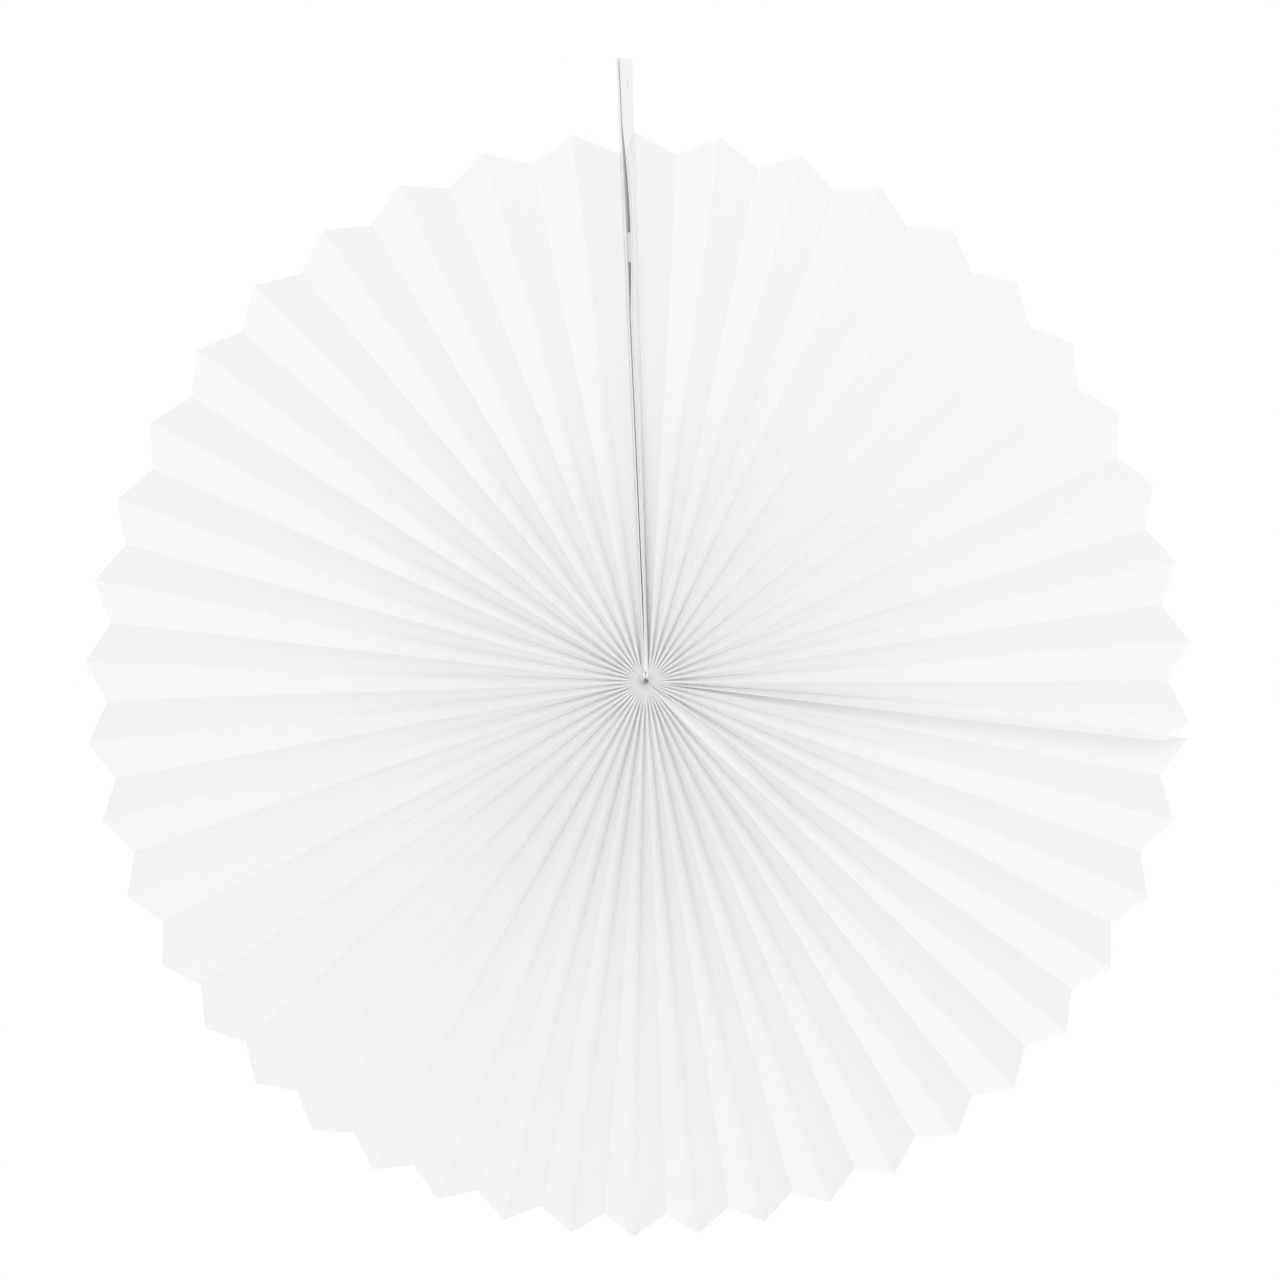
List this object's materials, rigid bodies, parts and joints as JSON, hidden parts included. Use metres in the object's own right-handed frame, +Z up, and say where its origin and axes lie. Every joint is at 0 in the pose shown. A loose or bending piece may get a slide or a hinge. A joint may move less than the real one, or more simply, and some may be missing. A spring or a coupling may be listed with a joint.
{
  "type": "hanging accordion paper fan",
  "caption": "White paper pleated into a round hanging rosette, threaded at the hub, with a stiff two-card hanging tab; it folds shut sideways into a flat bundle.",
  "frame": {"origin": "centre of the hang hole, midway between the two end cards", "axes": "+Z up along the cards away from the hub, -Y out of the front of the disc, +X to the right seen from the front"},
  "size_m": [0.4063, 0.017, 0.4337],
  "materials": {
    "paper": "uncoated white paper, matt, about 80 g/m2",
    "card": "uncoated stiff white card, matt",
    "pad": "white foam tape",
    "thread": "twisted white cotton"
  },
  "bodies": {
    "hanger": {"card_right": "card", "adhesive_pad": "pad", "centre_thread": "thread", "sheet_1_first_panel": "paper"},
    "fold_01": {"sheet_1_pleat_01": "paper"},
    "fold_02": {"sheet_1_pleat_02": "paper"},
    "fold_03": {"sheet_1_pleat_03": "paper"},
    "fold_04": {"sheet_1_pleat_04": "paper"},
    "fold_05": {"sheet_1_pleat_05": "paper"},
    "fold_06": {"sheet_1_pleat_06": "paper"},
    "fold_07": {"sheet_1_pleat_07": "paper"},
    "fold_08": {"sheet_1_pleat_08": "paper"},
    "fold_09": {"sheet_1_pleat_09": "paper"},
    "fold_10": {"sheet_1_pleat_10": "paper"},
    "fold_11": {"sheet_1_pleat_11": "paper"},
    "fold_12": {"sheet_1_last_panel": "paper", "sheet_2_first_panel": "paper"},
    "fold_13": {"sheet_2_pleat_01": "paper"},
    "fold_14": {"sheet_2_pleat_02": "paper"},
    "fold_15": {"sheet_2_pleat_03": "paper"},
    "fold_16": {"sheet_2_pleat_04": "paper"},
    "fold_17": {"sheet_2_pleat_05": "paper"},
    "fold_18": {"sheet_2_pleat_06": "paper"},
    "fold_19": {"sheet_2_pleat_07": "paper"},
    "fold_20": {"sheet_2_pleat_08": "paper"},
    "fold_21": {"sheet_2_pleat_09": "paper"},
    "fold_22": {"sheet_2_pleat_10": "paper"},
    "fold_23": {"sheet_2_pleat_11": "paper"},
    "fold_24": {"sheet_2_pleat_12": "paper"},
    "fold_25": {"sheet_2_pleat_13": "paper"},
    "fold_26": {"sheet_2_pleat_14": "paper"},
    "fold_27": {"sheet_2_pleat_15": "paper"},
    "fold_28": {"sheet_2_pleat_16": "paper"},
    "fold_29": {"sheet_2_pleat_17": "paper"},
    "fold_30": {"sheet_2_pleat_18": "paper"},
    "fold_31": {"sheet_2_pleat_19": "paper"},
    "fold_32": {"sheet_2_pleat_20": "paper"},
    "fold_33": {"sheet_2_pleat_21": "paper"},
    "fold_34": {"sheet_2_pleat_22": "paper"},
    "fold_35": {"sheet_2_pleat_23": "paper"},
    "fold_36": {"sheet_2_pleat_24": "paper"},
    "fold_37": {"sheet_2_pleat_25": "paper"},
    "fold_38": {"sheet_2_pleat_26": "paper"},
    "fold_39": {"sheet_2_pleat_27": "paper"},
    "fold_40": {"sheet_2_pleat_28": "paper"},
    "fold_41": {"sheet_2_pleat_29": "paper"},
    "fold_42": {"sheet_2_pleat_30": "paper"},
    "fold_43": {"sheet_2_pleat_31": "paper"},
    "fold_44": {"sheet_2_pleat_32": "paper"},
    "fold_45": {"sheet_2_last_pleat": "paper", "card_left": "card"}
  },
  "joints": [
    {"name": "crease_01", "type": "hinge", "parent": "hanger", "child": "fold_01", "pos_m": [0.00141, 0, -0.21669], "axis": [0, -1, 0], "range_deg": [0, 4.5], "deforming": ["sheet_1_pleat_01", "centre_thread"]},
    {"name": "crease_02", "type": "hinge", "parent": "fold_01", "child": "fold_02", "pos_m": [0.00181, 0, -0.21689], "axis": [0, -1, 0], "range_deg": [0, 8.93], "deforming": ["sheet_1_pleat_02"]},
    {"name": "crease_03", "type": "hinge", "parent": "fold_02", "child": "fold_03", "pos_m": [0.00218, 0, -0.21713], "axis": [0, -1, 0], "range_deg": [0, 8.88], "deforming": ["sheet_1_pleat_03"]},
    {"name": "crease_04", "type": "hinge", "parent": "fold_03", "child": "fold_04", "pos_m": [0.00251, 0, -0.21742], "axis": [0, -1, 0], "range_deg": [0, 8.83], "deforming": ["sheet_1_pleat_04"]},
    {"name": "crease_05", "type": "hinge", "parent": "fold_04", "child": "fold_05", "pos_m": [0.00281, 0, -0.21775], "axis": [0, -1, 0], "range_deg": [0, 8.78], "deforming": ["sheet_1_pleat_05"]},
    {"name": "crease_06", "type": "hinge", "parent": "fold_05", "child": "fold_06", "pos_m": [0.00307, 0, -0.21811], "axis": [0, -1, 0], "range_deg": [0, 8.73], "deforming": ["sheet_1_pleat_06"]},
    {"name": "crease_07", "type": "hinge", "parent": "fold_06", "child": "fold_07", "pos_m": [0.00327, 0, -0.2185], "axis": [0, -1, 0], "range_deg": [0, 8.68], "deforming": ["sheet_1_pleat_07"]},
    {"name": "crease_08", "type": "hinge", "parent": "fold_07", "child": "fold_08", "pos_m": [0.00343, 0, -0.21892], "axis": [0, -1, 0], "range_deg": [0, 8.63], "deforming": ["sheet_1_pleat_08"]},
    {"name": "crease_09", "type": "hinge", "parent": "fold_08", "child": "fold_09", "pos_m": [0.00354, 0, -0.21935], "axis": [0, -1, 0], "range_deg": [0, 8.58], "deforming": ["sheet_1_pleat_09"]},
    {"name": "crease_10", "type": "hinge", "parent": "fold_09", "child": "fold_10", "pos_m": [0.00359, 0, -0.21979], "axis": [0, -1, 0], "range_deg": [0, 8.53], "deforming": ["sheet_1_pleat_10"]},
    {"name": "crease_11", "type": "hinge", "parent": "fold_10", "child": "fold_11", "pos_m": [0.00359, 0, -0.22023], "axis": [0, -1, 0], "range_deg": [0, 8.48], "deforming": ["sheet_1_pleat_11"]},
    {"name": "crease_12", "type": "hinge", "parent": "fold_11", "child": "fold_12", "pos_m": [0.00354, 0, -0.22067], "axis": [0, -1, 0], "range_deg": [0, 6.46], "deforming": ["sheet_1_last_panel", "sheet_2_first_panel"]},
    {"name": "crease_13", "type": "hinge", "parent": "fold_12", "child": "fold_13", "pos_m": [0.00343, 0, -0.2211], "axis": [0, -1, 0], "range_deg": [0, 3.86], "deforming": ["sheet_2_pleat_01"]},
    {"name": "crease_14", "type": "hinge", "parent": "fold_13", "child": "fold_14", "pos_m": [0.00327, 0, -0.22151], "axis": [0, -1, 0], "range_deg": [0, 8.72], "deforming": ["sheet_2_pleat_02"]},
    {"name": "crease_15", "type": "hinge", "parent": "fold_14", "child": "fold_15", "pos_m": [0.00306, 0, -0.2219], "axis": [0, -1, 0], "range_deg": [0, 8.51], "deforming": ["sheet_2_pleat_03"]},
    {"name": "crease_16", "type": "hinge", "parent": "fold_15", "child": "fold_16", "pos_m": [0.0028, 0, -0.22226], "axis": [0, -1, 0], "range_deg": [0, 8.3], "deforming": ["sheet_2_pleat_04"]},
    {"name": "crease_17", "type": "hinge", "parent": "fold_16", "child": "fold_17", "pos_m": [0.0025, 0, -0.22259], "axis": [0, -1, 0], "range_deg": [0, 8.09], "deforming": ["sheet_2_pleat_05"]},
    {"name": "crease_18", "type": "hinge", "parent": "fold_17", "child": "fold_18", "pos_m": [0.00217, 0, -0.22287], "axis": [0, -1, 0], "range_deg": [0, 7.88], "deforming": ["sheet_2_pleat_06"]},
    {"name": "crease_19", "type": "hinge", "parent": "fold_18", "child": "fold_19", "pos_m": [0.0018, 0, -0.22312], "axis": [0, -1, 0], "range_deg": [0, 7.66], "deforming": ["sheet_2_pleat_07"]},
    {"name": "crease_20", "type": "hinge", "parent": "fold_19", "child": "fold_20", "pos_m": [0.0014, 0, -0.22332], "axis": [0, -1, 0], "range_deg": [0, 7.45], "deforming": ["sheet_2_pleat_08"]},
    {"name": "crease_21", "type": "hinge", "parent": "fold_20", "child": "fold_21", "pos_m": [0.00098, 0, -0.22346], "axis": [0, -1, 0], "range_deg": [0, 7.24], "deforming": ["sheet_2_pleat_09"]},
    {"name": "crease_22", "type": "hinge", "parent": "fold_21", "child": "fold_22", "pos_m": [0.00055, 0, -0.22356], "axis": [0, -1, 0], "range_deg": [0, 7.03], "deforming": ["sheet_2_pleat_10"]},
    {"name": "crease_23", "type": "hinge", "parent": "fold_22", "child": "fold_23", "pos_m": [0.00011, 0, -0.2236], "axis": [0, -1, 0], "range_deg": [0, 6.82], "deforming": ["sheet_2_pleat_11"]},
    {"name": "crease_24", "type": "hinge", "parent": "fold_23", "child": "fold_24", "pos_m": [-0.00033, 0, -0.22359], "axis": [0, -1, 0], "range_deg": [0, 6.6], "deforming": ["sheet_2_pleat_12"]},
    {"name": "crease_25", "type": "hinge", "parent": "fold_24", "child": "fold_25", "pos_m": [-0.00077, 0, -0.22352], "axis": [0, -1, 0], "range_deg": [0, 6.76], "deforming": ["sheet_2_pleat_13"]},
    {"name": "crease_26", "type": "hinge", "parent": "fold_25", "child": "fold_26", "pos_m": [-0.0012, 0, -0.2234], "axis": [0, -1, 0], "range_deg": [0, 7.1], "deforming": ["sheet_2_pleat_14"]},
    {"name": "crease_27", "type": "hinge", "parent": "fold_26", "child": "fold_27", "pos_m": [-0.0016, 0, -0.22322], "axis": [0, -1, 0], "range_deg": [0, 7.22], "deforming": ["sheet_2_pleat_15"]},
    {"name": "crease_28", "type": "hinge", "parent": "fold_27", "child": "fold_28", "pos_m": [-0.00199, 0, -0.223], "axis": [0, -1, 0], "range_deg": [0, 7.35], "deforming": ["sheet_2_pleat_16"]},
    {"name": "crease_29", "type": "hinge", "parent": "fold_28", "child": "fold_29", "pos_m": [-0.00234, 0, -0.22274], "axis": [0, -1, 0], "range_deg": [0, 7.48], "deforming": ["sheet_2_pleat_17"]},
    {"name": "crease_30", "type": "hinge", "parent": "fold_29", "child": "fold_30", "pos_m": [-0.00266, 0, -0.22243], "axis": [0, -1, 0], "range_deg": [0, 7.61], "deforming": ["sheet_2_pleat_18"]},
    {"name": "crease_31", "type": "hinge", "parent": "fold_30", "child": "fold_31", "pos_m": [-0.00294, 0, -0.22208], "axis": [0, -1, 0], "range_deg": [0, 7.74], "deforming": ["sheet_2_pleat_19"]},
    {"name": "crease_32", "type": "hinge", "parent": "fold_31", "child": "fold_32", "pos_m": [-0.00317, 0, -0.22171], "axis": [0, -1, 0], "range_deg": [0, 7.87], "deforming": ["sheet_2_pleat_20"]},
    {"name": "crease_33", "type": "hinge", "parent": "fold_32", "child": "fold_33", "pos_m": [-0.00335, 0, -0.22131], "axis": [0, -1, 0], "range_deg": [0, 7.99], "deforming": ["sheet_2_pleat_21"]},
    {"name": "crease_34", "type": "hinge", "parent": "fold_33", "child": "fold_34", "pos_m": [-0.00349, 0, -0.22088], "axis": [0, -1, 0], "range_deg": [0, 8.12], "deforming": ["sheet_2_pleat_22"]},
    {"name": "crease_35", "type": "hinge", "parent": "fold_34", "child": "fold_35", "pos_m": [-0.00357, 0, -0.22045], "axis": [0, -1, 0], "range_deg": [0, 8.25], "deforming": ["sheet_2_pleat_23"]},
    {"name": "crease_36", "type": "hinge", "parent": "fold_35", "child": "fold_36", "pos_m": [-0.0036, 0, -0.22001], "axis": [0, -1, 0], "range_deg": [0, 8.38], "deforming": ["sheet_2_pleat_24"]},
    {"name": "crease_37", "type": "hinge", "parent": "fold_36", "child": "fold_37", "pos_m": [-0.00357, 0, -0.21957], "axis": [0, -1, 0], "range_deg": [0, 8.51], "deforming": ["sheet_2_pleat_25"]},
    {"name": "crease_38", "type": "hinge", "parent": "fold_37", "child": "fold_38", "pos_m": [-0.00349, 0, -0.21913], "axis": [0, -1, 0], "range_deg": [0, 8.64], "deforming": ["sheet_2_pleat_26"]},
    {"name": "crease_39", "type": "hinge", "parent": "fold_38", "child": "fold_39", "pos_m": [-0.00336, 0, -0.21871], "axis": [0, -1, 0], "range_deg": [0, 8.77], "deforming": ["sheet_2_pleat_27"]},
    {"name": "crease_40", "type": "hinge", "parent": "fold_39", "child": "fold_40", "pos_m": [-0.00318, 0, -0.2183], "axis": [0, -1, 0], "range_deg": [0, 8.89], "deforming": ["sheet_2_pleat_28"]},
    {"name": "crease_41", "type": "hinge", "parent": "fold_40", "child": "fold_41", "pos_m": [-0.00294, 0, -0.21793], "axis": [0, -1, 0], "range_deg": [0, 9.02], "deforming": ["sheet_2_pleat_29"]},
    {"name": "crease_42", "type": "hinge", "parent": "fold_41", "child": "fold_42", "pos_m": [-0.00267, 0, -0.21758], "axis": [0, -1, 0], "range_deg": [0, 9.15], "deforming": ["sheet_2_pleat_30"]},
    {"name": "crease_43", "type": "hinge", "parent": "fold_42", "child": "fold_43", "pos_m": [-0.00235, 0, -0.21727], "axis": [0, -1, 0], "range_deg": [0, 9.28], "deforming": ["sheet_2_pleat_31"]},
    {"name": "crease_44", "type": "hinge", "parent": "fold_43", "child": "fold_44", "pos_m": [-0.002, 0, -0.21701], "axis": [0, -1, 0], "range_deg": [0, 9.41], "deforming": ["sheet_2_pleat_32"]},
    {"name": "crease_45", "type": "hinge", "parent": "fold_44", "child": "fold_45", "pos_m": [-0.00161, 0, -0.21678], "axis": [0, -1, 0], "range_deg": [0, 8.66], "deforming": ["sheet_2_last_pleat"]}
  ],
  "couplings": [
    {"joint": "crease_02", "follows": "crease_01", "ratio": 1.9828},
    {"joint": "crease_03", "follows": "crease_01", "ratio": 1.9717},
    {"joint": "crease_04", "follows": "crease_01", "ratio": 1.9606},
    {"joint": "crease_05", "follows": "crease_01", "ratio": 1.9494},
    {"joint": "crease_06", "follows": "crease_01", "ratio": 1.9383},
    {"joint": "crease_07", "follows": "crease_01", "ratio": 1.9271},
    {"joint": "crease_08", "follows": "crease_01", "ratio": 1.9159},
    {"joint": "crease_09", "follows": "crease_01", "ratio": 1.9047},
    {"joint": "crease_10", "follows": "crease_01", "ratio": 1.8935},
    {"joint": "crease_11", "follows": "crease_01", "ratio": 1.8823},
    {"joint": "crease_12", "follows": "crease_01", "ratio": 1.434},
    {"joint": "crease_13", "follows": "crease_01", "ratio": 0.85567},
    {"joint": "crease_14", "follows": "crease_01", "ratio": 1.9362},
    {"joint": "crease_15", "follows": "crease_01", "ratio": 1.8891},
    {"joint": "crease_16", "follows": "crease_01", "ratio": 1.842},
    {"joint": "crease_17", "follows": "crease_01", "ratio": 1.7949},
    {"joint": "crease_18", "follows": "crease_01", "ratio": 1.7477},
    {"joint": "crease_19", "follows": "crease_01", "ratio": 1.7006},
    {"joint": "crease_20", "follows": "crease_01", "ratio": 1.6535},
    {"joint": "crease_21", "follows": "crease_01", "ratio": 1.6064},
    {"joint": "crease_22", "follows": "crease_01", "ratio": 1.5593},
    {"joint": "crease_23", "follows": "crease_01", "ratio": 1.5122},
    {"joint": "crease_24", "follows": "crease_01", "ratio": 1.4651},
    {"joint": "crease_25", "follows": "crease_01", "ratio": 1.5007},
    {"joint": "crease_26", "follows": "crease_01", "ratio": 1.5741},
    {"joint": "crease_27", "follows": "crease_01", "ratio": 1.6027},
    {"joint": "crease_28", "follows": "crease_01", "ratio": 1.6312},
    {"joint": "crease_29", "follows": "crease_01", "ratio": 1.6598},
    {"joint": "crease_30", "follows": "crease_01", "ratio": 1.6883},
    {"joint": "crease_31", "follows": "crease_01", "ratio": 1.7169},
    {"joint": "crease_32", "follows": "crease_01", "ratio": 1.7454},
    {"joint": "crease_33", "follows": "crease_01", "ratio": 1.774},
    {"joint": "crease_34", "follows": "crease_01", "ratio": 1.8025},
    {"joint": "crease_35", "follows": "crease_01", "ratio": 1.8311},
    {"joint": "crease_36", "follows": "crease_01", "ratio": 1.8596},
    {"joint": "crease_37", "follows": "crease_01", "ratio": 1.8882},
    {"joint": "crease_38", "follows": "crease_01", "ratio": 1.9168},
    {"joint": "crease_39", "follows": "crease_01", "ratio": 1.9453},
    {"joint": "crease_40", "follows": "crease_01", "ratio": 1.9739},
    {"joint": "crease_41", "follows": "crease_01", "ratio": 2.0024},
    {"joint": "crease_42", "follows": "crease_01", "ratio": 2.0309},
    {"joint": "crease_43", "follows": "crease_01", "ratio": 2.0595},
    {"joint": "crease_44", "follows": "crease_01", "ratio": 2.0879},
    {"joint": "crease_45", "follows": "crease_01", "ratio": 1.9226}
  ]
}
